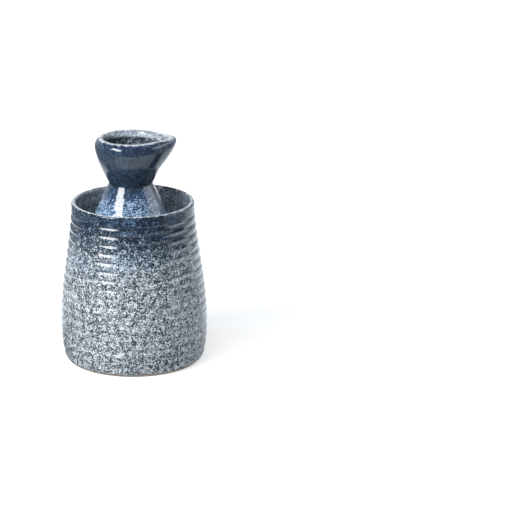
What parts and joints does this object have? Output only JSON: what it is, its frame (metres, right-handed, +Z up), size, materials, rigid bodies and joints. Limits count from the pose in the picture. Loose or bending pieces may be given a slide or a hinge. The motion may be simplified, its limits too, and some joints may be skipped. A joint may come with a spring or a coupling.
{
  "type": "sake bottle in a warming pot",
  "caption": "Stoneware sake bottle with a funnel mouth and pinched pouring lip, standing in the ribbed pot of hot water that warms it; the bottle lifts out",
  "frame": {"origin": "centre of the pot's foot ring, on the surface that it stands on", "axes": "+Z up along the pot's axis, +X towards the bottle's pouring lip, +Y to the left of the lip seen from above"},
  "size_m": [0.1056, 0.1056, 0.165],
  "materials": {
    "pot_glaze": "glossy grey-white glaze with dense dark speckles, navy at the rim, bare clay on the foot ring",
    "bottle_glaze": "glossy speckled navy glaze on the funnel, cobalt on the shoulder, pale blue-white below, bare clay on the foot ring"
  },
  "bodies": {
    "warming_pot": {"warming_pot": "pot_glaze"},
    "bottle": {"bottle": "bottle_glaze"}
  },
  "joints": [
    {"name": "bottle_lift", "type": "slide", "parent": "warming_pot", "child": "bottle", "axis": [0, 0, 1], "range_m": [0, 0.125]}
  ]
}
